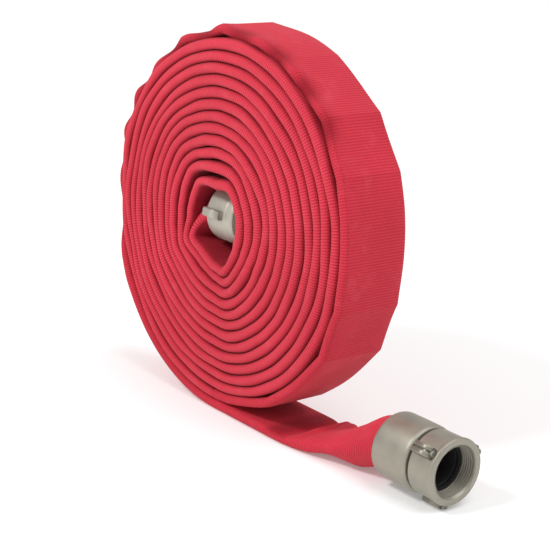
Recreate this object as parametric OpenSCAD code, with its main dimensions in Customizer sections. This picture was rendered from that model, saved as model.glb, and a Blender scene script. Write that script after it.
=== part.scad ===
// Rolled fire hose: a flat double-jacket hose wound on edge around its male
// coupling, with a short free tail that ends in a female swivel coupling.
// Frame: X along the tail towards the swivel's mouth, Y along the axis of the
// roll, Z up. The origin is on the floor, straight under the centre of the roll.

/* [Roll] */
// Outside diameter of the roll
roll_d = 400; // [380:10:440]
// Layers of hose between the rim and the core, counted on the left
turns = 14; // [10:1:14]
// Radius of the open core that holds the male coupling
core_r = 48.6; // [48:0.2:56]

/* [Hose] */
// Width of the hose when it lies flat
hose_w = 78; // [76:1:84]
// Thickness of the hose when it lies flat
hose_t = 10.2; // [9.8:0.1:10.2]
// Wall of the woven outer jacket
outer_wall = 1.7; // [1.5:0.05:1.7]
// Wall of the woven inner jacket
inner_wall = 1.6; // [1.4:0.05:1.6]
// Wall of the rubber liner
liner_wall = 1.0; // [0.8:0.05:1]

/* [Tail] */
// Distance from the roll's centre to the line where the tail bends up
tail_bend_x = 120; // [110:1:125]
// Distance from the roll's centre to the start of the round stretch
tail_opening_x = 150; // [145:1:160]

/* [Couplings] */
// Outside radius of the hose where it is round, inside a coupling bowl
hose_r = 26.7; // [26.5:0.05:26.7]
// Distance from the roll's centre to the hose end of the female coupling
female_x = 240; // [236:1:250]
// Height of the female coupling's axis above the floor
female_z = 37.3; // [37.2:0.1:40]
// Outside radius of the female bowl
female_bowl_r = 33; // [32.5:0.25:34]
// Outside radius of the swivel, without its lugs
swivel_r = 31.6; // [31.5:0.1:32]
// Radius over the tips of the swivel's rocker lugs
swivel_lug_r = 37; // [36:0.5:37]
// Minor radius of the swivel's internal thread
thread_minor_r = 23.8; // [23.6:0.1:24]
// Number of balls in the swivel's race
ball_count = 30; // [24:1:32]
// Distance from the roll's centre to the hose end of the male coupling
male_x = -33; // [-34:0.5:-32]
// Height of the male coupling's axis above the floor
male_z = 203; // [201:0.5:204]
// Outside radius of the male bowl
male_bowl_r = 31; // [30:0.25:31]

/* [Hidden] */
$fn = 64;

// Gap left between pieces that lie against each other
skin = 0.1;
roll_r = roll_d / 2;
pitch = (roll_r - core_r - hose_t) / (turns - 1);

// Depth of each layer's outer face under the outside of the hose
outer_depth = 0;
inner_depth = outer_depth + outer_wall + skin;
liner_depth = inner_depth + inner_wall + skin;
lumen_depth = liner_depth + liner_wall;

// Flex line of the tail: a half-round end that turns in a half-round seat
flex_z = hose_t / 2;
flex_end_r = hose_t / 2;
flex_seat_r = flex_end_r + 0.3;

// How the stretches of a layer run into each other
lap = 3;
slice_t = 0.25;
inset = 0.15;

// Lengths along a coupling, from the end that the hose goes into
hose_in_bowl = 36.9;
tail_gasket_start = 37;
tail_gasket_end = 39.9;
bowl_shoulder = 40;
ring_start = 4;
ring_end = 36.7;
waterway_r = 20.8;
ring_wall = 1.2;
ring_r = hose_r - lumen_depth - skin;
bowl_bore_r = hose_r + skin;
edge = 1.5;

// Female coupling
bowl_length = 47;
spigot_end = 59;
spigot_r = 26.5;
skirt_r = spigot_r + skin;
swivel_start = 49;
swivel_end = 80;
flange_length = 3.5;
flange_r = swivel_r + 0.9;
gasket_start = 59.2;
gasket_end = 62.4;
mouth_chamfer = 1.8;
race_s = 53.7;
race_r = spigot_r + skin / 2;
ball_r = 2.3;
groove_r = ball_r + skin;
lug_start = 51.5;
lug_length = 24;
lug_ridge_r = 2.9;
lug_ridge_gap = 5.2;
lug_angles = [20, 140, 260];
plug_angle = 82;
plug_r = 3.2;
plug_slot_w = 1;
plug_slot_depth = 1.2;

// Male coupling
male_bowl_length = 42;
male_lug_r = 36.2;
male_lug_start = 1;
male_lug_length = 27;
male_lug_angles = [54, 174, 294];
male_thread_r = 25.2;
male_thread_end = 54;

// Flat outline of the hose's cross-section, w wide and t thick with round edges
module flat_section(w, t) {
    if (w > t) square([w - t, t], center = true);
    for (side = [-1, 1]) translate([side * max(w - t, 0) / 2, 0]) circle(d = t);
}

// Half of a flat ring about the origin: side is -1 for the left half, 1 for the right
module half_ring(r_out, r_in, side) {
    intersection() {
        difference() {
            circle(r = r_out, $fn = 160);
            circle(r = r_in, $fn = 160);
        }
        translate([side > 0 ? 0 : -2 * roll_r, -2 * roll_r]) square([2 * roll_r, 4 * roll_r]);
    }
}

// Side view of the winding at depth d under the hose's faces, with the flat run under it.
// Left half turns are about the roll's centre, right half turns about a point half a pitch higher.
module winding_outline(d, slack) {
    for (k = [0 : turns - 2]) {
        left_r = roll_r - k * pitch;
        right_r = left_r - pitch / 2;
        translate([0, roll_r]) half_ring(left_r - d, left_r - hose_t + d, -1);
        translate([0, roll_r + pitch / 2]) half_ring(right_r - d, right_r - hose_t + d, 1);
    }
    intersection() {
        translate([0, roll_r]) half_ring(core_r + hose_t - d, core_r + d, -1);
        translate([-2 * roll_r, 0]) square([2 * roll_r, roll_r]);
    }
    translate([0, d]) square([tail_bend_x + slack, hose_t - 2 * d]);
}

// Cylinder across the hose on the flex line
module flex_cylinder(r) {
    translate([tail_bend_x, hose_w, flex_z]) rotate([90, 0, 0]) cylinder(r = r, h = 2 * hose_w);
}

// Flat stretch of the hose on the floor, filled to depth d
module flat_run(d, x0, x1) {
    translate([x0, 0, flex_z]) rotate([90, 0, 90]) linear_extrude(x1 - x0)
        flat_section(hose_w - 2 * d, hose_t - 2 * d);
}

// Thin slice across the X axis of the hose's outline, at depth d under its outside
module slice(x, z, w, t, d) {
    translate([x, 0, z]) rotate([90, 0, 90]) linear_extrude(slice_t)
        flat_section(w - 2 * (d + inset), t - 2 * (d + inset), $fn = 32);
}

// The stretch where the tail opens from flat to round, filled to depth d
module tail_opening(d) {
    hull() {
        slice(tail_opening_x - lap, flex_z, hose_w, hose_t, d);
        slice(190, 13.5, 73, 27, d);
    }
    hull() {
        slice(190, 13.5, 73, 27, d);
        slice(223, 29, 60, 47, d);
    }
    hull() {
        slice(223, 29, 60, 47, d);
        slice(female_x - 2 * slice_t, female_z, 2 * hose_r, 2 * hose_r, d);
    }
}

// Round tube on a coupling's axis
module tube(r_out, r_in, s0, s1) {
    translate([0, 0, s0]) difference() {
        cylinder(r = r_out, h = s1 - s0);
        translate([0, 0, -1]) cylinder(r = r_in, h = s1 - s0 + 2);
    }
}

// Puts a piece that is drawn along Z on the female or the male coupling's axis
module on_female_axis() { translate([female_x, 0, female_z]) rotate([0, 90, 0]) children(); }
module on_male_axis() { translate([male_x, 0, male_z]) rotate([0, 90, 0]) children(); }

// The short crushed neck between the innermost turn and the male bowl, filled to depth d
module core_neck(d) {
    hull() {
        translate([-core_r - hose_t / 2, 0, roll_r - lap]) linear_extrude(slice_t)
            rotate(90) flat_section(hose_w - 2 * (d + inset), hose_t - 2 * (d + inset), $fn = 32);
        slice(male_x - 2 * slice_t, male_z, 2 * hose_r, 2 * hose_r, d);
    }
}

// Everything inside depth d of the rolled stretch, from the bend line to the male bowl
module filled_roll(d, slack = 0) {
    rotate([90, 0, 0]) linear_extrude(hose_w - 2 * d, center = true) winding_outline(d, slack);
    core_neck(d);
    on_male_axis() translate([0, 0, -lap]) cylinder(r = hose_r - d, h = lap + hose_in_bowl + slack);
}

// Everything inside depth d of the free tail, from the bend line to the female bowl
module filled_tail(d, slack = 0) {
    flat_run(d, tail_bend_x - slack, tail_opening_x);
    tail_opening(d);
    on_female_axis() translate([0, 0, -lap]) cylinder(r = hose_r - d, h = lap + hose_in_bowl + slack);
}

// One wall layer of the rolled stretch, with the seat of the bend at its end
module roll_layer(a, b) {
    difference() {
        filled_roll(a);
        filled_roll(b, 1);
        flex_cylinder(flex_seat_r);
    }
}

// One wall layer of the free tail, with the round end of the bend
module tail_layer(a, b) {
    difference() {
        filled_tail(a);
        filled_tail(b, 1);
    }
    intersection() {
        difference() {
            flat_run(a, tail_bend_x - hose_t, tail_bend_x);
            flat_run(b, tail_bend_x - hose_t - 1, tail_bend_x + 1);
        }
        flex_cylinder(flex_end_r);
    }
}

// Two rounded ridges side by side, along the coupling's axis
module rocker_lug(tip_r, root_r, s0, length) {
    translate([0, 0, s0]) linear_extrude(length) {
        for (side = [-1, 1])
            translate([tip_r - lug_ridge_r - 0.2, side * lug_ridge_gap / 2]) circle(r = lug_ridge_r);
        translate([root_r, -lug_ridge_gap / 2 - lug_ridge_r])
            square([tip_r - lug_ridge_r - root_r - 0.2, lug_ridge_gap + 2 * lug_ridge_r]);
    }
}

// Lugs around a coupling; an angle of 0 points along +Y and 90 points up
module rocker_lugs(angles, tip_r, root_r, s0, length) {
    for (a = angles) rotate([0, 0, 90 + a]) rocker_lug(tip_r, root_r, s0, length);
}

module outer_jacket() { color("#e1415a") roll_layer(outer_depth, outer_depth + outer_wall); }
module inner_jacket() { color("#f2ead8") roll_layer(inner_depth, inner_depth + inner_wall); }
module liner() { color("#202022") roll_layer(liner_depth, lumen_depth); }

module tail_outer_jacket() { color("#e1415a") tail_layer(outer_depth, outer_depth + outer_wall); }
module tail_inner_jacket() { color("#f2ead8") tail_layer(inner_depth, inner_depth + inner_wall); }
module tail_liner() { color("#202022") tail_layer(liner_depth, lumen_depth); }

// Bowl, rocker lugs and external thread in one piece
module male_coupling() {
    color("#d7d4c8") on_male_axis() difference() {
        union() {
            rotate_extrude() polygon([
                [0, 0], [male_bowl_r - edge, 0], [male_bowl_r, edge], [male_bowl_r, male_bowl_length - edge],
                [male_bowl_r - edge, male_bowl_length], [male_thread_r, male_bowl_length],
                [male_thread_r, male_thread_end - edge], [male_thread_r - edge, male_thread_end],
                [0, male_thread_end]]);
            rocker_lugs(male_lug_angles, male_lug_r, male_bowl_r - 2, male_lug_start, male_lug_length);
        }
        translate([0, 0, -1]) cylinder(r = bowl_bore_r, h = bowl_shoulder + 1);
        cylinder(r = waterway_r, h = male_thread_end + 1);
    }
}

module male_expansion_ring() {
    color("#b98a4a") on_male_axis() tube(ring_r, ring_r - ring_wall, ring_start, ring_end);
}

module male_tail_gasket() {
    color("#1c1c1e") on_male_axis()
        tube(hose_r, waterway_r + skin, tail_gasket_start, tail_gasket_end);
}

// Bowl that grips the hose, with the spigot that the swivel turns on
module female_bowl() {
    color("#a7a294") on_female_axis() difference() {
        rotate_extrude() polygon([
            [0, 0], [female_bowl_r - 2 * edge, 0], [female_bowl_r, 2 * edge], [female_bowl_r, bowl_length - edge],
            [female_bowl_r - edge, bowl_length], [spigot_r, bowl_length], [spigot_r, spigot_end], [0, spigot_end]]);
        translate([0, 0, -1]) cylinder(r = bowl_bore_r, h = bowl_shoulder + 1);
        cylinder(r = waterway_r, h = spigot_end + 1);
        ball_groove();
    }
}

module female_expansion_ring() {
    color("#b98a4a") on_female_axis() tube(ring_r, ring_r - ring_wall, ring_start, ring_end);
}

module female_tail_gasket() {
    color("#1c1c1e") on_female_axis()
        tube(hose_r, waterway_r + skin, tail_gasket_start, tail_gasket_end);
}

// Ring-shaped groove that is half in the spigot and half in the swivel
module ball_groove() {
    translate([0, 0, race_s]) rotate_extrude() translate([race_r, 0]) circle(r = groove_r, $fn = 32);
}

// Collar with the internal thread, which turns on the bowl's spigot
module female_swivel() {
    color("#a7a294") on_female_axis() difference() {
        union() {
            rotate_extrude() polygon([
                [0, swivel_start], [swivel_r - edge, swivel_start], [swivel_r, swivel_start + edge],
                [swivel_r, swivel_end - flange_length], [flange_r, swivel_end - flange_length],
                [flange_r, swivel_end - edge / 2], [flange_r - edge / 2, swivel_end], [0, swivel_end]]);
            rocker_lugs(lug_angles, swivel_lug_r, swivel_r - 2, lug_start, lug_length);
        }
        translate([0, 0, swivel_start - 1]) cylinder(r = skirt_r, h = gasket_end + skin - swivel_start + 1);
        cylinder(r = thread_minor_r, h = swivel_end + 1);
        translate([0, 0, swivel_end - mouth_chamfer])
            cylinder(r1 = thread_minor_r, r2 = thread_minor_r + mouth_chamfer + 0.2, h = mouth_chamfer + 0.2);
        ball_groove();
        plug_hole(plug_r + skin);
    }
}

// Radial cylinder over the ball race
module plug_hole(r) {
    rotate([0, 0, 90 + plug_angle]) translate([race_r + 1, 0, race_s]) rotate([0, 90, 0])
        cylinder(r = r, h = 10, $fn = 32);
}

// Screw plug that keeps the balls in, with a slot for a driver
module swivel_ball_plug() {
    color("#8f8b80") on_female_axis() rotate([0, 0, 90 + plug_angle]) difference() {
        translate([race_r + groove_r + skin, 0, race_s]) rotate([0, 90, 0])
            cylinder(r = plug_r, h = swivel_r - race_r - groove_r - 3 * skin, $fn = 32);
        translate([swivel_r - plug_slot_depth, -plug_r - 1, race_s - plug_slot_w / 2])
            cube([plug_slot_depth + 1, 2 * plug_r + 2, plug_slot_w]);
    }
}

module swivel_gasket() {
    color("#1c1c1e") on_female_axis() tube(skirt_r - skin, waterway_r + skin, gasket_start, gasket_end);
}

module swivel_balls() {
    color("#c8ccd0") on_female_axis() for (i = [0 : ball_count - 1])
        rotate([0, 0, i * 360 / ball_count]) translate([race_r, 0, race_s]) sphere(r = ball_r, $fn = 32);
}

outer_jacket();
inner_jacket();
liner();
male_coupling();
male_expansion_ring();
male_tail_gasket();
tail_outer_jacket();
tail_inner_jacket();
tail_liner();
female_bowl();
female_expansion_ring();
female_tail_gasket();
female_swivel();
swivel_gasket();
swivel_ball_plug();
swivel_balls();
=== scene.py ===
"""Looks of a rolled fire hose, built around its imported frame.

Lengths are in millimetres in this script and turn into metres when a mesh is made. X runs along the
tail towards the swivel's mouth, Y along the axis of the roll and Z up, as in the frame.
"""
import math
from collections import namedtuple

import bmesh
import bpy
import numpy as np
from mathutils import Matrix, Vector


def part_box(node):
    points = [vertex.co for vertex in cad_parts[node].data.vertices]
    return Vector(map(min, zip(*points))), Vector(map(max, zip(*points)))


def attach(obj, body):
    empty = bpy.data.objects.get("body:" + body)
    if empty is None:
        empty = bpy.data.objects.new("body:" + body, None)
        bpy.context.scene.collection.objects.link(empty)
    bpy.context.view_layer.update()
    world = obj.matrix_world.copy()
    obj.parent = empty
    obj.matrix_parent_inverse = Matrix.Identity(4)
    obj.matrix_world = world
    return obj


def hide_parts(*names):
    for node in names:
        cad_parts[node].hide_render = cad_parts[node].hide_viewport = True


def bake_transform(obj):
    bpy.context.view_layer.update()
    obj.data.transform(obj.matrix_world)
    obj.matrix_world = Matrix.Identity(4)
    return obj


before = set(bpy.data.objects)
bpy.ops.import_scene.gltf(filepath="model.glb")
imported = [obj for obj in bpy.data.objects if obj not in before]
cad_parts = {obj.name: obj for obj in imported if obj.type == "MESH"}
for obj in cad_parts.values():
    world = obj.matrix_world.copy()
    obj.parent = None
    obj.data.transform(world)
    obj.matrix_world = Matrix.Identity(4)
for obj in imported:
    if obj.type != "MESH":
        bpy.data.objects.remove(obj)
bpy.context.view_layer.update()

MM = 0.001


def corner_mm(node, which):
    """Lowest (0) or highest (1) corner of a CAD node, in millimetres."""
    return [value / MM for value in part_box(node)[which]]


# ---------------------------------------------------------------- sizes, from the frame
ROLL_LOW = corner_mm("outer_jacket", 0)
BOWL_LOW = corner_mm("female_bowl", 0)
BOWL_HIGH = corner_mm("female_bowl", 1)
SWIVEL_LOW = corner_mm("female_swivel", 0)
SWIVEL_HIGH = corner_mm("female_swivel", 1)
MALE_LOW = corner_mm("male_coupling", 0)
MALE_HIGH = corner_mm("male_coupling", 1)
MALE_SEAL_LOW = corner_mm("male_tail_gasket", 0)
MALE_SEAL_HIGH = corner_mm("male_tail_gasket", 1)

ROLL_R = -ROLL_LOW[0]
HALF_W = -ROLL_LOW[1]
HALF_T = 5.1
FEMALE_X = BOWL_LOW[0]
FEMALE_Z = (BOWL_LOW[2] + BOWL_HIGH[2]) / 2
BOWL_R = (BOWL_HIGH[2] - BOWL_LOW[2]) / 2
MALE_X = MALE_LOW[0]
MALE_Z = (MALE_SEAL_LOW[2] + MALE_SEAL_HIGH[2]) / 2
HOSE_R = 26.6
JACKET_WALL = 1.7
TURN_GAP = 0.35
RIB_PITCH = 2.9
YARN_PITCH = 1.5

# Turns between the second one and the innermost one, and the angle where the innermost one ends
CORE_TURNS = 12
HOSE_END = 360.0 * 13 + 60.0


# ---------------------------------------------------------------- camera
def add_camera():
    """Camera at the viewing angle of the part's picture."""
    azimuth = math.radians(51.1)
    elevation = math.radians(16.06)
    roll = math.radians(2.78)
    distance = 1511.35
    target = Vector((47.33, 0.0, 152.95))
    back = Vector((math.sin(azimuth) * math.cos(elevation),
                   -math.cos(azimuth) * math.cos(elevation),
                   math.sin(elevation)))
    right = Vector((math.cos(azimuth), math.sin(azimuth), 0.0))
    up = back.cross(right)
    rolled_right = right * math.cos(roll) + up * math.sin(roll)
    rolled_up = up * math.cos(roll) - right * math.sin(roll)
    data = bpy.data.cameras.new("camera")
    data.sensor_width = 36.0
    data.lens = 97.3
    camera = bpy.data.objects.new("camera", data)
    place = Matrix((rolled_right, rolled_up, back)).transposed().to_4x4()
    place.translation = (target + back * distance) * MM
    camera.matrix_world = place
    bpy.context.collection.objects.link(camera)
    bpy.context.scene.camera = camera


# ---------------------------------------------------------------- shaping helpers
def smoothstep(t):
    """Smooth step from 0, at 0, to 1, at 1."""
    t = np.clip(t, 0.0, 1.0)
    return t * t * (3.0 - 2.0 * t)


def ramp(value, start, end):
    """Smooth ramp from 0, at start, to 1, at end; end may be the lower of the two."""
    return smoothstep((value - start) / (end - start))


def hump(value, middle, width):
    """Smooth hump of height 1."""
    return np.exp(-((value - middle) / width) ** 2)


def mix(a, b, t):
    """Value between a and b."""
    return a + (b - a) * t


def wander(s, wavelength, seed):
    """Smooth seeded noise along a length, about -1 to 1."""
    rng = np.random.default_rng(seed)
    total = np.zeros_like(s)
    for _ in range(4):
        stretch = wavelength * rng.uniform(0.7, 1.6)
        total = total + np.sin(2 * np.pi * (s / stretch + rng.uniform()))
    return total / 2.4


# ---------------------------------------------------------------- winding
def round_table(keys, blur):
    """Radius for each whole degree around the roll, from a few key angles, with soft corners."""
    degrees = np.arange(360)
    angles = sorted(keys)
    values = np.interp(degrees, angles, [keys[a] for a in angles], period=360)
    window = np.hanning(2 * blur + 1)
    window = window / window.sum()
    wrapped = np.concatenate([values[-blur:], values, values[:blur]])
    return np.convolve(wrapped, window, mode="valid")


# Outer radius of the second turn and of the innermost turn, by angle from the bottom, clockwise
SECOND_TURN = round_table({0: 189.2, 90: 186.5, 180: 187.5, 228: 190.0, 270: 192.0, 320: 191.0}, 16)
INNER_TURN = round_table({0: 53.0, 25: 52.0, 45: 53.5, 62: 61.0, 90: 60.0, 132: 59.0, 155: 47.0, 180: 40.0,
                          228: 31.5, 270: 32.3, 300: 36.0, 325: 44.0, 351: 56.0}, 9)

# How far the last turns tuck in over the end of the hose, on the left of the core
TUCKED_TURNS = (8, 10, 11, 12)
TUCK = (0.0, 1.5, 4.0, 10.5)


def winding(phi):
    """Outer radius and local pitch of the hose at angle phi, in degrees from the tail's lift-off."""
    turn = np.floor(phi / 360.0)
    theta = phi - 360.0 * turn
    depth = turn + ramp(theta, 180.0, 360.0)
    grid = np.arange(361)
    second = np.interp(theta, grid, np.append(SECOND_TURN, SECOND_TURN[0]))
    inner = np.interp(theta, grid, np.append(INNER_TURN, INNER_TURN[0]))
    radius = second + (inner - second) * (depth - 1.0) / CORE_TURNS
    rim = mix(ROLL_R, SECOND_TURN[0], ramp(theta, 270.0, 360.0))
    pitch = (second - inner) / CORE_TURNS
    tuck = ramp(theta, 60.0, 86.0) * ramp(theta, 205.0, 160.0)
    radius = radius - tuck * np.interp(turn, TUCKED_TURNS, TUCK)
    return np.where(turn < 1, rim, radius), pitch


# ---------------------------------------------------------------- cross-section of the hose
Section = namedtuple("Section", "flat_y edge_y edge_n alpha walked")


def hose_section(flat_points, edge_points):
    """Loop of points around the hose. Its flat shape is flat_y, the place along the flat faces, and edge_y
    and edge_n, the place on the round edges. In its round shape the angle is alpha. The way round is walked.
    """
    flat = np.linspace(-1.0, 1.0, flat_points)
    arc = np.linspace(0.0, np.pi, edge_points + 2)[1:-1]
    flat_y = np.concatenate([flat, np.ones(edge_points), flat[::-1], -np.ones(edge_points)])
    edge_y = np.concatenate([0 * flat, np.sin(arc), 0 * flat, -np.sin(arc)])
    edge_n = np.concatenate([0 * flat + 1, np.cos(arc), 0 * flat - 1, -np.cos(arc)])
    y = flat_y * (HALF_W - HALF_T) + edge_y * HALF_T
    n = edge_n * HALF_T
    steps = np.hypot(np.diff(y, append=y[0]), np.diff(n, append=n[0]))
    walked = np.concatenate([[0.0], np.cumsum(steps)[:-1]])
    middle = walked[flat_points - 1] + np.pi * HALF_T / 2
    alpha = -2 * np.pi * (walked - middle) / steps.sum()
    return Section(flat_y, edge_y, edge_n, alpha, walked)


def ring_points(section, half_w, half_t, roundness, ellipse_w, ellipse_t):
    """Rings of (across, outward) points: the flat hose at roundness 0, the ellipse at roundness 1."""
    columns = [np.asarray(v, float)[:, None] for v in (half_w, half_t, roundness, ellipse_w, ellipse_t)]
    half_w, half_t, roundness, ellipse_w, ellipse_t = columns
    flat_y = section.flat_y * (half_w - half_t) + section.edge_y * half_t
    y = mix(flat_y, ellipse_w * np.cos(section.alpha), roundness)
    n = mix(section.edge_n * half_t, ellipse_t * np.sin(section.alpha), roundness)
    return y, n


# ---------------------------------------------------------------- mesh helpers
def make_object(name, verts, faces, materials, smooth=True):
    """Mesh object from millimetre points, with its normals turned outward."""
    mesh = bpy.data.meshes.new(name)
    mesh.from_pydata((np.asarray(verts) * MM).tolist(), [], faces)
    for material in materials:
        mesh.materials.append(material)
    work = bmesh.new()
    work.from_mesh(mesh)
    bmesh.ops.recalc_face_normals(work, faces=work.faces)
    work.to_mesh(mesh)
    work.free()
    mesh.polygons.foreach_set("use_smooth", [smooth] * len(mesh.polygons))
    obj = bpy.data.objects.new(name, mesh)
    bpy.context.collection.objects.link(obj)
    return obj


def grid_faces(rows, columns, closed_rows=False):
    """Quads of a grid whose columns wrap round; its rows wrap round too when closed_rows is set."""
    faces = []
    last = rows if closed_rows else rows - 1
    for i in range(last):
        here = i * columns
        there = ((i + 1) % rows) * columns
        for j in range(columns):
            k = (j + 1) % columns
            faces.append((here + j, here + k, there + k, there + j))
    return faces


def tube_faces(rows, columns):
    """Quads of a tube of rings, with a cap at each end."""
    faces = grid_faces(rows, columns)
    faces.append(tuple(range(columns)))
    faces.append(tuple((rows - 1) * columns + j for j in range(columns)))
    return faces


def add_values(obj, name, values):
    """Number stored at each vertex, for the weave's material."""
    attribute = obj.data.attributes.new(name, "FLOAT", "POINT")
    attribute.data.foreach_set("value", np.asarray(values, np.float32).ravel())


def hose_mesh(name, rings, along, walked, shade, material):
    """Closed hose from its rings of points, with its length and its way round stored for the weave."""
    count, around = rings.shape[:2]
    obj = make_object(name, rings.reshape(-1, 3), tube_faces(count, around), [material])
    add_values(obj, "along", np.repeat(along[:, None], around, axis=1))
    add_values(obj, "across", np.repeat(walked[None, :], count, axis=0))
    add_values(obj, "shade", shade)
    return obj


# ---------------------------------------------------------------- materials
class Nodes:
    """Small helper that adds and links shader nodes."""

    def __init__(self, name):
        self.material = bpy.data.materials.new(name)
        self.material.use_nodes = True
        self.tree = self.material.node_tree
        self.shader = self.tree.nodes["Principled BSDF"]

    def link(self, source, target):
        """Joins an output to an input."""
        self.tree.links.new(source, target)

    def feed(self, socket, value):
        """Gives an input a number, or links it to an output."""
        if isinstance(value, bpy.types.NodeSocket):
            self.link(value, socket)
        else:
            socket.default_value = value

    def math(self, operation, a, b=0.0, c=0.0):
        """Output of a calculation."""
        node = self.tree.nodes.new("ShaderNodeMath")
        node.operation = operation
        for socket, value in zip(node.inputs, (a, b, c)):
            self.feed(socket, value)
        return node.outputs[0]

    def attribute(self, name):
        """Number stored at the vertices under that name."""
        node = self.tree.nodes.new("ShaderNodeAttribute")
        node.attribute_name = name
        return node.outputs["Fac"]

    def noise(self, scale, detail=3.0, roughness=0.5):
        """Noise in the object's own space, in cycles per metre."""
        place = self.tree.nodes.new("ShaderNodeTexCoord")
        node = self.tree.nodes.new("ShaderNodeTexNoise")
        node.inputs["Scale"].default_value = scale
        node.inputs["Detail"].default_value = detail
        node.inputs["Roughness"].default_value = roughness
        self.link(place.outputs["Object"], node.inputs["Vector"])
        return node.outputs["Fac"]

    def ramp(self, value, stops):
        """Colour along a ramp of (position, colour) stops."""
        node = self.tree.nodes.new("ShaderNodeValToRGB")
        elements = node.color_ramp.elements
        while len(elements) < len(stops):
            elements.new(0.5)
        for element, (position, colour) in zip(elements, stops):
            element.position = position
            element.color = (*colour, 1.0)
        self.link(value, node.inputs["Fac"])
        return node.outputs["Color"]

    def blend(self, factor, a, b, mode="MIX"):
        """Two colours mixed by a factor."""
        node = self.tree.nodes.new("ShaderNodeMix")
        node.data_type = "RGBA"
        node.blend_type = mode
        self.feed(node.inputs["Factor"], factor)
        for socket, value in ((node.inputs[6], a), (node.inputs[7], b)):
            if isinstance(value, bpy.types.NodeSocket):
                self.link(value, socket)
            else:
                socket.default_value = (*value, 1.0)
        return node.outputs[2]

    def bump(self, height, strength, distance):
        """Relief in the shader's normal."""
        node = self.tree.nodes.new("ShaderNodeBump")
        node.inputs["Strength"].default_value = strength
        node.inputs["Distance"].default_value = distance
        self.link(height, node.inputs["Height"])
        self.link(node.outputs["Normal"], self.shader.inputs["Normal"])

    def set(self, **values):
        """Inputs of the shader, with underscores for the spaces in their names."""
        for name, value in values.items():
            self.feed(self.shader.inputs[name.replace("_", " ")], value)


def wave(nodes, value):
    """Cosine of an angle, moved to lie between 0 and 1."""
    return nodes.math("MULTIPLY_ADD", nodes.math("COSINE", value), 0.5, 0.5)


def woven_material(name, rib_share):
    """Red woven jacket: ribs across the hose, yarns over them, scuffs, painted shade and highlight in the
    weave's relief, and painted shade where turns touch.
    """
    nodes = Nodes(name)
    along = nodes.attribute("along")
    across = nodes.attribute("across")
    rib = wave(nodes, nodes.math("MULTIPLY", along, 2 * math.pi / RIB_PITCH))
    side = nodes.math("MULTIPLY", along, math.pi / RIB_PITCH)
    yarn = wave(nodes, nodes.math("MULTIPLY_ADD", across, 2 * math.pi / YARN_PITCH, side))
    grit = nodes.noise(900.0, 2.0)
    patch = nodes.noise(9.0, 4.0, 0.55)
    scuff = nodes.noise(38.0, 5.0, 0.62)
    height = nodes.math("MULTIPLY", rib, rib_share)
    height = nodes.math("MULTIPLY_ADD", yarn, 0.3, height)
    height = nodes.math("MULTIPLY_ADD", grit, 0.35, height)
    # Painted shade and highlight: the cloth is darker in the weave's grooves and lighter on its crests, with
    # random grit mixed in
    thread = nodes.ramp(height, [(0.1, (0.34, 0.008, 0.022)), (0.5, (0.60, 0.026, 0.050)),
                                 (1.0, (0.74, 0.052, 0.088))])
    tone = nodes.ramp(patch, [(0.3, (0.86, 0.80, 0.82)), (0.7, (1.0, 1.0, 1.0))])
    cloth = nodes.blend(1.0, thread, tone, "MULTIPLY")
    worn = nodes.ramp(scuff, [(0.56, (0, 0, 0)), (0.85, (0.14, 0.14, 0.14))])
    cloth = nodes.blend(worn, cloth, (0.88, 0.22, 0.26))
    # Painted shade: the shade attribute darkens the cloth where turns lie on each other, in hollows and
    # inside the open ends
    cloth = nodes.blend(nodes.attribute("shade"), cloth, (0.27, 0.003, 0.014))
    nodes.link(cloth, nodes.shader.inputs["Base Color"])
    rough = nodes.math("MULTIPLY_ADD", grit, 0.2, 0.66)
    nodes.set(Roughness=rough, Sheen_Weight=0.06, Sheen_Roughness=0.5, Specular_IOR_Level=0.2)
    nodes.bump(height, 0.55, 0.0007)
    return nodes.material


def metal_material(name, colour, roughness, metallic=0.75):
    """Satin turned metal: slight cloudiness, fine grit and rubbed bright spots."""
    nodes = Nodes(name)
    cloud = nodes.noise(60.0, 4.0)
    grit = nodes.noise(1400.0, 2.0)
    dark = tuple(0.88 * c for c in colour)
    light = tuple(1.08 * c for c in colour)
    base = nodes.ramp(cloud, [(0.3, dark), (0.55, colour), (0.8, light)])
    nodes.link(base, nodes.shader.inputs["Base Color"])
    rough = nodes.math("MULTIPLY_ADD", cloud, 0.22, roughness - 0.1)
    nodes.set(Roughness=rough, Metallic=metallic)
    nodes.bump(grit, 0.25, 0.0002)
    return nodes.material


def rubber_material(name, colour):
    """Black rubber with a dusty grain."""
    nodes = Nodes(name)
    grain = nodes.noise(500.0, 3.0)
    base = nodes.ramp(grain, [(0.3, colour), (0.8, tuple(2.2 * c for c in colour))])
    nodes.link(base, nodes.shader.inputs["Base Color"])
    nodes.set(Roughness=nodes.math("MULTIPLY_ADD", grain, 0.2, 0.5), Specular_IOR_Level=0.4)
    nodes.bump(grain, 0.3, 0.0003)
    return nodes.material


def floor_material():
    """Plain pale studio floor."""
    nodes = Nodes("floor_white")
    tone = nodes.ramp(nodes.noise(2.0, 2.0), [(0.3, (0.82, 0.82, 0.82)), (0.7, (0.84, 0.84, 0.84))])
    nodes.link(tone, nodes.shader.inputs["Base Color"])
    nodes.set(Roughness=0.9, Specular_IOR_Level=0.1, Emission_Strength=0.18)
    nodes.shader.inputs["Emission Color"].default_value = (1.0, 1.0, 1.0, 1.0)
    return nodes.material


RED_RIBBED = woven_material("outer_weave_ribbed", 0.3)
RED_WOVEN = woven_material("outer_weave", 0.65)
SATIN_GREY = metal_material("coupling_anodised", (0.33, 0.31, 0.255), 0.46, 0.6)
SATIN_PALE = metal_material("coupling_light", (0.47, 0.45, 0.38), 0.50, 0.5)
BRASS = metal_material("ring_brass", (0.62, 0.42, 0.18), 0.32, 1.0)
STEEL = metal_material("steel", (0.62, 0.63, 0.64), 0.22, 1.0)
RUBBER = rubber_material("gasket_rubber", (0.012, 0.012, 0.013))
LINER = rubber_material("liner_rubber", (0.018, 0.018, 0.020))


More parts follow.
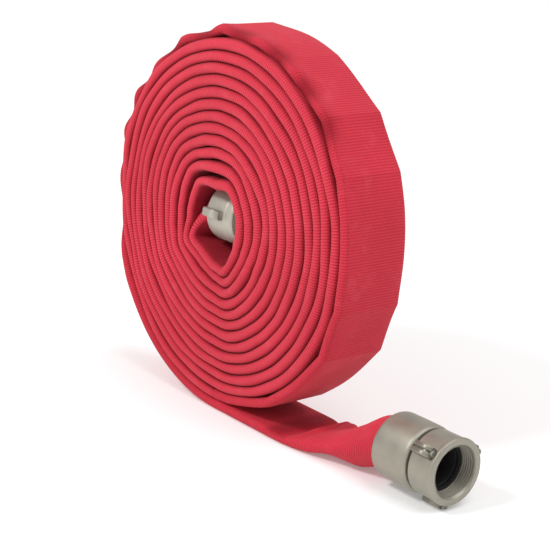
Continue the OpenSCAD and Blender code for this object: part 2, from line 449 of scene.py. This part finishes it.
# ---------------------------------------------------------------- hose, shared by its two pieces
def drift(phi):
    """How far a turn inside the outermost one wanders in or out."""
    envelope = ramp(phi, 360.0, 400.0) * ramp(phi, HOSE_END, HOSE_END - 60.0)
    return envelope * (0.5 * wander(phi, 70.0, 21) + 0.3 * wander(phi, 21.0, 22))


def half_thickness(phi):
    """Half the thickness of a turn that fills the room down to the next turn inside it."""
    radius, pitch = winding(phi)
    inside, _ = winding(phi + 360.0)
    room = radius + drift(phi) - inside - drift(phi + 360.0)
    filled = np.clip(room - TURN_GAP, 0.88 * pitch, 1.05 * pitch) / 2
    innermost = 0.486 * pitch
    filled = mix(filled, innermost, ramp(phi, HOSE_END - 380.0, HOSE_END - 360.0))
    return mix(HALF_T, filled, ramp(phi, 360.0, 420.0))


def flat_rings(section, half_t, axial):
    """(across, outward) points of the flat hose, moved sideways by axial."""
    none = 0 * half_t
    y, n = ring_points(section, none + HALF_W, half_t, none, none + 1, none + 1)
    return y + axial[:, None], n


def around_axis(radius, y, n, phi):
    """Points n outside the radius from the roll's axis, at angle phi clockwise from the bottom."""
    rho = radius[:, None] + n
    angle = np.radians(phi)[:, None] + 0 * rho
    return np.stack([-np.sin(angle) * rho, y, ROLL_R - np.cos(angle) * rho], axis=-1)


def arc_length(phi):
    """Length of the hose wound since the first of the angles."""
    radius, _ = winding(phi)
    steps = np.radians(np.diff(phi)) * (radius[1:] + radius[:-1]) / 2
    return np.concatenate([[0.0], np.cumsum(steps)])


def fold_inward(rings, depth):
    """Adds an open end to a round hose that runs along X: over its cut edge and back along its inside."""
    last = rings[-1]
    centre = last.mean(axis=0)
    inner = centre + (last - centre) * (1 - JACKET_WALL / HOSE_R)
    back = inner - np.array((depth, 0.0, 0.0))
    return np.concatenate([rings, [inner, back]])


# ---------------------------------------------------------------- outermost turn and tail
RINGS_PER_RIB = 6
RIB_HEIGHT = 0.24
FACET_LENGTH = 88.0
FACET_SAG = 3.0
PUCKER_DEGREES = 17.0
FOLD_X = 132.0
FOLD_SLANT = 0.10
HOSE_IN_BOWL = 36.0


def tail_rings(section, x):
    """Rings of the free tail: flat on the floor, a fold, then an opening that ends round in the bowl."""
    width = mix(HALF_W, HOSE_R, ramp(x, 95.0, FEMALE_X - 4.0))
    height = mix(HALF_T, HOSE_R, ramp(x, 118.0, FEMALE_X - 4.0))
    bottom = (FEMALE_Z - HOSE_R) * ramp(x, 196.0, FEMALE_X)
    roundness = ramp(x, 122.0, 210.0)
    flat_t = np.minimum(height, HALF_T + 4.0)
    y, n = ring_points(section, width, flat_t, roundness, width, height)
    x = x[:, None]
    ridge = FOLD_X + FOLD_SLANT * y
    relief = -2.6 * hump(x, ridge - 13.0, 7.0)
    relief = relief + 4.2 * hump(x, ridge, 5.0) * ramp(y, -34.0, -4.0)
    relief = relief + 4.0 * hump(x, 146.0, 8.0) * ramp(y, 2.0, 26.0)
    relief = relief - 2.0 * hump(x, 190.0, 16.0) * ramp(y, -5.0, 25.0)
    on_top = smoothstep(-n / height[:, None])
    z = bottom[:, None] + height[:, None] - n + on_top * relief
    return np.stack([x + 0 * y, y, z], axis=-1)


def fold_shade(tail):
    """Shade of the hollow in front of the tail's fold."""
    x, y, z = tail[..., 0], tail[..., 1], tail[..., 2]
    ridge = FOLD_X + FOLD_SLANT * y
    hollow = ramp(x, 84.0, 100.0) * ramp(x, ridge - 7.0, ridge - 19.0)
    return 0.85 * hollow * ramp(z, HALF_T, 2 * HALF_T)


def band_wander(phi, wound):
    """Radial and sideways wander of the outermost turn: flat facets between soft corners, and slow waves."""
    envelope = ramp(phi, 15.0, 45.0) * ramp(phi, 360.0, 330.0)
    place = wound / FACET_LENGTH + 0.18 * wander(wound, 200.0, 8)
    facet = place - np.floor(place)
    flats = -FACET_SAG * 4 * facet * (1 - facet) * ramp(phi, 100.0, 160.0)
    radial = envelope * (flats + 0.8 * wander(wound, 170.0, 3) + 0.4 * wander(wound, 60.0, 4))
    axial = envelope * 1.2 * wander(wound, 240.0, 5)
    return radial, axial


def pucker_front(phi, y, n):
    """Puckers the front edge on the left and the top, and gives the painted shade of its hollows."""
    reach = (ramp(phi, 58.0, 83.0) * ramp(phi, 252.0, 222.0))[:, None]
    front = ramp(y, -14.0, -36.0)
    scallop = np.sin(2 * np.pi * phi / PUCKER_DEGREES + 1.4 * wander(phi, 60.0, 6)) - 0.5
    scallop = scallop[:, None]
    # Painted shade in the hollows between the puckers
    shade = front * np.clip(reach * (0.35 - 0.45 * scallop), 0, 0.95)
    return y + front * reach * (7.0 - 1.5 * scallop), n + front * reach * 1.8 * scallop, shade


def raise_ribs(rings, along, section):
    """Moves the rings out and in to make the ribs that run across the hose."""
    outward = rings - rings.mean(axis=1, keepdims=True)
    spread = np.linalg.norm(outward, axis=-1)
    height = RIB_HEIGHT * np.cos(2 * np.pi * along / RIB_PITCH)[:, None]
    height = height * (0.5 + 0.5 * smoothstep(np.abs(section.edge_y)))
    height = height * np.minimum(spread / HALF_T, 1.0)
    return rings + outward * (height / spread)[..., None]


def outer_turn_and_tail():
    """The tail and the outermost turn, with their ribs as real relief."""
    section = hose_section(7, 5)
    step = RIB_PITCH / RINGS_PER_RIB
    x = np.arange(FEMALE_X + HOSE_IN_BOWL, 0.0, -step)
    phi = np.append(np.arange(0.0, 360.0, math.degrees(step / ROLL_R)), 360.0)
    wound = arc_length(phi)
    tail = tail_rings(section, x)
    radial, axial = band_wander(phi, wound)
    half_t = half_thickness(phi)
    y, n = flat_rings(section, half_t, axial)
    y, n, pucker_shade = pucker_front(phi, y, n)
    turn = around_axis(winding(phi)[0] + radial - half_t, y, n, phi)
    along = np.concatenate([-x, wound])
    rings = raise_ribs(np.concatenate([tail, turn]), along, section)
    shade = np.concatenate([fold_shade(tail), pucker_shade])
    # From the end of the roll back to the bowl, where the open end folds inward
    rings = fold_inward(rings[::-1], HOSE_IN_BOWL)
    along = np.concatenate([along[::-1], along[:1], along[:1] + HOSE_IN_BOWL])
    # Painted shade: the open end folded into the bowl is fully darkened
    shade = np.concatenate([shade[::-1], np.ones((2, len(section.walked)))])
    hose = hose_mesh("hose_outer_turn_and_tail", rings, along, section.walked, shade, RED_RIBBED)
    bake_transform(hose)
    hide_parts("tail_outer_jacket")


# ---------------------------------------------------------------- inner turns
INNER_STEP = 4.0
RIM_LENGTH = 1200.0
NECK_RINGS = 14
NECK_IN_BOWL = 35.0
LINED_DEPTH = 30.0


def inner_angles():
    """Angles along the inner turns, a step of hose apart."""
    phi = [360.0]
    while phi[-1] < HOSE_END:
        radius = float(winding(np.array([phi[-1]]))[0][0])
        phi.append(phi[-1] + math.degrees(INNER_STEP / radius))
    return np.array(phi)


def neck_rings(section, first, tangent):
    """Rings from the flat end of the innermost turn, along smooth curves, to the round end in the bowl."""
    goal = np.stack([np.full_like(section.alpha, MALE_X + 1.0),
                     HOSE_R * np.cos(section.alpha),
                     MALE_Z + HOSE_R * np.sin(section.alpha)], axis=-1)
    reach = np.linalg.norm(goal - first, axis=-1, keepdims=True)
    leave = np.array(tangent) * reach * 0.9
    arrive = np.array((1.0, 0.0, 0.0)) * reach * 0.8
    rings = []
    for t in np.linspace(0.0, 1.0, NECK_RINGS + 1)[1:]:
        from_first = 2 * t ** 3 - 3 * t ** 2 + 1
        from_leave = t ** 3 - 2 * t ** 2 + t
        from_goal = 3 * t ** 2 - 2 * t ** 3
        from_arrive = t ** 3 - t ** 2
        rings.append(from_first * first + from_leave * leave + from_goal * goal + from_arrive * arrive)
    rings.append(goal + np.array((NECK_IN_BOWL, 0.0, 0.0)))
    return np.array(rings)


def inner_turns():
    """The turns inside the outermost one, down to the neck in the male coupling."""
    section = hose_section(4, 7)
    phi = inner_angles()
    wound = arc_length(phi) + RIM_LENGTH
    envelope = ramp(phi, 360.0, 400.0) * ramp(phi, HOSE_END, HOSE_END - 60.0)
    axial = envelope * (1.3 * wander(wound, 420.0, 23) + 0.9 * wander(wound, 90.0, 24))
    half_t = half_thickness(phi)
    y, n = flat_rings(section, half_t, axial)
    rings = around_axis(winding(phi)[0] + drift(phi) - half_t, y, n, phi)
    angle = math.radians(phi[-1])
    neck = neck_rings(section, rings[-1], (-math.cos(angle), 0.0, math.sin(angle)))
    rings = fold_inward(np.concatenate([rings, neck]), LINED_DEPTH)
    neck_end = 2 * NECK_IN_BOWL
    neck_along = np.append(np.linspace(2.5, NECK_IN_BOWL, NECK_RINGS), [neck_end, neck_end + 2.0,
                                                                        neck_end + 2.0 + LINED_DEPTH])
    along = np.append(wound, wound[-1] + neck_along)
    # Painted shade: the flat faces, where turns lie on each other, are darker than the round edges
    flat = 1.0 - smoothstep(np.abs(section.edge_y) * 1.05 - 0.05)
    shade = np.repeat(0.92 * flat[None, :], len(rings), axis=0)
    hose = hose_mesh("hose_inner_turns", rings, along, section.walked, shade, RED_WOVEN)
    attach(hose, "roll")
    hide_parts("outer_jacket", "inner_jacket", "liner")


# ---------------------------------------------------------------- couplings
THREAD_PITCH = 2.82
THREAD_DEPTH = 1.6
Thread = namedtuple("Thread", "radius start end")


def cut_thread(s, r, turn, thread):
    """Radius of a wall with a thread's helix between its start and its end."""
    place = s / THREAD_PITCH - turn / (2 * np.pi)
    tooth = 1.0 - np.abs(2.0 * (place - np.floor(place)) - 1.0)
    run = ramp(s, thread.start, thread.start + 2.0) * ramp(s, thread.end, thread.end - 1.2)
    on_wall = np.abs(r - thread.radius) < 0.01
    return r + on_wall * run * ramp(tooth, 0.25, 0.75) * THREAD_DEPTH


def paint_bore_shade(obj, radii, segments, bore):
    """Gives the rows of faces within the radius bore their second material, as painted shade in the bore."""
    for i, polygon in enumerate(obj.data.polygons):
        row = i // segments
        widest = max(radii[row], radii[(row + 1) % len(radii)])
        # Painted shade: faces inside the bore take the dark liner rubber
        polygon.material_index = int(widest < bore)


def lathe(name, profile, origin, material, thread=None, bore=0.0, segments=128):
    """Closed ring turned about a coupling's axis, from (s, r) points, with a thread or a bore darkened by
    painted shade.
    """
    turn = np.linspace(0.0, 2 * np.pi, segments, endpoint=False)
    s = np.array([p[0] for p in profile])[:, None] + 0 * turn
    r = np.array([p[1] for p in profile])[:, None] + 0 * turn
    if thread:
        r = cut_thread(s, r, turn, thread)
    verts = np.stack([origin[0] + s, r * np.cos(turn), origin[1] + r * np.sin(turn)], axis=-1)
    faces = grid_faces(len(profile), segments, closed_rows=True)
    obj = make_object(name, verts.reshape(-1, 3), faces, [material, LINER] if bore else [material])
    if bore:
        paint_bore_shade(obj, r.mean(axis=1), segments, bore)
    return obj


def rounded(profile, radius, steps=4):
    """Profile with each corner turned into a short arc of about that radius."""
    points = []
    count = len(profile)
    for i, corner in enumerate(profile):
        corner = np.array(corner, float)
        before = np.array(profile[i - 1], float) - corner
        after = np.array(profile[(i + 1) % count], float) - corner
        cut = min(radius, 0.45 * np.linalg.norm(before), 0.45 * np.linalg.norm(after))
        a = corner + before / np.linalg.norm(before) * cut
        b = corner + after / np.linalg.norm(after) * cut
        for t in np.linspace(0.0, 1.0, steps):
            points.append(tuple((1 - t) ** 2 * a + 2 * t * (1 - t) * corner + t * t * b))
    return points


def threaded_run(s0, s1, r, step=0.28):
    """Evenly spaced wall points for a thread."""
    count = int(abs(s1 - s0) / step) + 1
    return [(s, r) for s in np.linspace(s0, s1, count)]


FEMALE_LUG_ANGLES = (20.0, 140.0, 260.0)
MALE_LUG_ANGLES = (54.0, 174.0, 294.0)
BAR_POINTS = 24
BAR_SOFTNESS = 0.45


def bar(s0, s1, out, side, half_out, half_side, angle, origin):
    """Bar along a coupling's axis with soft edges and ends, centred at radius out and offset side."""
    end = min(half_out, half_side) * 0.5
    caps = np.linspace(0.0, np.pi / 2, 5)
    stations = [(s0 + end * (1 - math.sin(c)), 0.55 + 0.45 * math.sin(c)) for c in caps]
    stations += [(s1 - end * (1 - math.sin(c)), 0.55 + 0.45 * math.sin(c)) for c in caps[::-1]]
    verts = []
    for s, grow in stations:
        for t in np.linspace(0.0, 2 * np.pi, BAR_POINTS, endpoint=False):
            cosine, sine = math.cos(t), math.sin(t)
            radial = out + half_out * grow * math.copysign(abs(cosine) ** BAR_SOFTNESS, cosine)
            tangential = side + half_side * grow * math.copysign(abs(sine) ** BAR_SOFTNESS, sine)
            verts.append((origin[0] + s,
                          radial * math.cos(angle) - tangential * math.sin(angle),
                          origin[1] + radial * math.sin(angle) + tangential * math.cos(angle)))
    return verts, tube_faces(len(stations), BAR_POINTS)


def lug(name, bars, angle, origin, material):
    """Rocker lug made of bars, each (s0, s1, out, side, half_out, half_side)."""
    verts, faces = [], []
    for sizes in bars:
        part_verts, part_faces = bar(*sizes, math.radians(angle), origin)
        base = len(verts)
        verts += part_verts
        faces += [tuple(base + i for i in face) for face in part_faces]
    return make_object(name, verts, faces, [material])


def put(obj, body):
    """Lets a piece ride on a body."""
    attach(obj, body)
    return obj


def female_coupling():
    """Bowl on the tail and threaded swivel with its three lugs."""
    origin = (FEMALE_X, FEMALE_Z)
    end = SWIVEL_HIGH[0] - FEMALE_X
    start = SWIVEL_LOW[0] - FEMALE_X
    bowl = rounded([(0.0, 27.0), (0.0, BOWL_R - 3.4), (1.4, BOWL_R - 1.2), (4.4, BOWL_R), (34.0, BOWL_R),
                    (43.5, BOWL_R - 0.3), (46.6, BOWL_R - 1.8), (46.6, 24.0), (50.0, 24.0), (50.0, 26.5),
                    (58.9, 26.5), (58.9, 20.8), (40.0, 20.8), (40.0, 26.9)], 1.2)
    piece = put(lathe("female_bowl_turned", bowl, origin, SATIN_GREY, bore=24.5), "tail")
    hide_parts("female_bowl")
    minor = 23.8
    collar = rounded([(start, 26.8), (start, 29.6), (start + 1.6, 31.6), (end - 4.6, 31.6), (end - 3.6, 32.5),
                      (end - 0.9, 32.5), (end, 31.7), (end, minor + 2.4)], 0.5)
    run = threaded_run(end - 1.6, 64.2, minor)
    back = [(62.6, minor), (62.6, 26.8)]
    thread = Thread(minor, 64.0, end - 1.4)
    piece = put(lathe("female_swivel_turned", collar + run + back, origin, SATIN_GREY, thread),
                "swivel")
    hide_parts("female_swivel")
    ridges = [(51.6, 74.4, 33.9, side, 3.0, 2.3) for side in (-3.1, 3.1)]
    foot = (52.4, 75.0, 32.4, 0.0, 2.4, 4.4)
    nub = (72.6, 77.0, 33.6, 0.0, 2.6, 2.6)
    for i, degrees in enumerate(FEMALE_LUG_ANGLES):
        piece = lug(f"female_lug_{i + 1}", ridges + [foot, nub], degrees, origin, SATIN_GREY)
        put(piece, "swivel")


def male_coupling():
    """Bowl with its external thread and three lugs, in the core of the roll."""
    origin = (MALE_X, MALE_Z)
    length = MALE_HIGH[0] - MALE_X
    root = 23.4
    inner = [(40.0, 20.8), (40.0, 26.9), (0.0, 26.9), (0.0, 29.2), (1.6, 31.0), (30.0, 31.0), (31.2, 30.2),
             (39.0, 30.2), (42.0, 28.4), (42.0, root)]
    profile = rounded(inner, 0.9)
    crest = threaded_run(42.6, length - 1.6, root)
    tip = [(length - 0.4, 23.0), (length, 22.4), (length, 20.8)]
    thread = Thread(root, 42.6, length - 1.2)
    piece = put(lathe("male_coupling_turned", profile + crest + tip, origin, SATIN_PALE, thread, bore=22.0),
                "roll")
    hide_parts("male_coupling")
    block = (0.8, 27.8, 33.0, 0.0, 3.2, 4.6)
    for i, degrees in enumerate(MALE_LUG_ANGLES):
        put(lug(f"male_lug_{i + 1}", [block], degrees, origin, SATIN_PALE), "roll")


def hose_lining(name, origin, body):
    """Rubber liner that shows through a coupling's bore, closed where the hose leaves the bowl."""
    profile = rounded([(36.4, 22.6), (36.4, 24.6), (0.5, 24.6), (0.5, 2.0), (1.5, 2.0), (1.5, 22.6)], 0.4, 3)
    return put(lathe(name, profile, origin, LINER), body)


def finish_cad_nodes():
    """Procedural materials for the CAD pieces that stay."""
    finishes = {"male_expansion_ring": BRASS, "female_expansion_ring": BRASS,
                "male_tail_gasket": RUBBER, "female_tail_gasket": RUBBER, "swivel_gasket": RUBBER,
                "swivel_ball_plug": SATIN_GREY, "swivel_balls": STEEL}
    for node, material in finishes.items():
        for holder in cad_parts[node].material_slots:
            holder.material = material


# ---------------------------------------------------------------- studio
def add_area(name, place, target, size, energy):
    """Soft area light aimed at a point."""
    data = bpy.data.lights.new(name, "AREA")
    data.size = size
    data.energy = energy
    light = bpy.data.objects.new(name, data)
    light.location = Vector(place)
    light.rotation_euler = (Vector(target) - Vector(place)).to_track_quat("-Z", "Y").to_euler()
    bpy.context.collection.objects.link(light)


def add_sun(name, direction, strength, angle):
    """Wide soft light from a direction, the same all over the floor."""
    data = bpy.data.lights.new(name, "SUN")
    data.energy = strength
    data.angle = math.radians(angle)
    light = bpy.data.objects.new(name, data)
    light.rotation_euler = Vector(direction).to_track_quat("Z", "Y").to_euler()
    bpy.context.collection.objects.link(light)


def add_studio():
    """White world, pale floor and soft lights."""
    scene = bpy.context.scene
    scene.view_settings.view_transform = "Standard"
    world = bpy.data.worlds.new("studio")
    world.use_nodes = True
    background = world.node_tree.nodes["Background"]
    background.inputs["Color"].default_value = (1.0, 1.0, 1.0, 1.0)
    background.inputs["Strength"].default_value = 0.55
    scene.world = world
    half = 20000.0
    verts = [(-half, -half, -0.2), (half, -half, -0.2), (half, half, -0.2), (-half, half, -0.2)]
    make_object("floor", verts, [(0, 1, 2, 3)], [floor_material()], smooth=False)
    add_sun("overhead", (0.45, 0.2, 1.0), 1.5, 50.0)
    add_area("front", (-0.3, -1.7, 2.0), (0.0, 0.0, 0.2), 0.5, 34.0)


add_camera()
outer_turn_and_tail()
inner_turns()
female_coupling()
male_coupling()
female_lining = hose_lining("female_hose_lining", (FEMALE_X, FEMALE_Z), "tail")
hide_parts("tail_inner_jacket", "tail_liner")
hose_lining("male_hose_lining", (MALE_X, MALE_Z), "roll")
finish_cad_nodes()
add_studio()
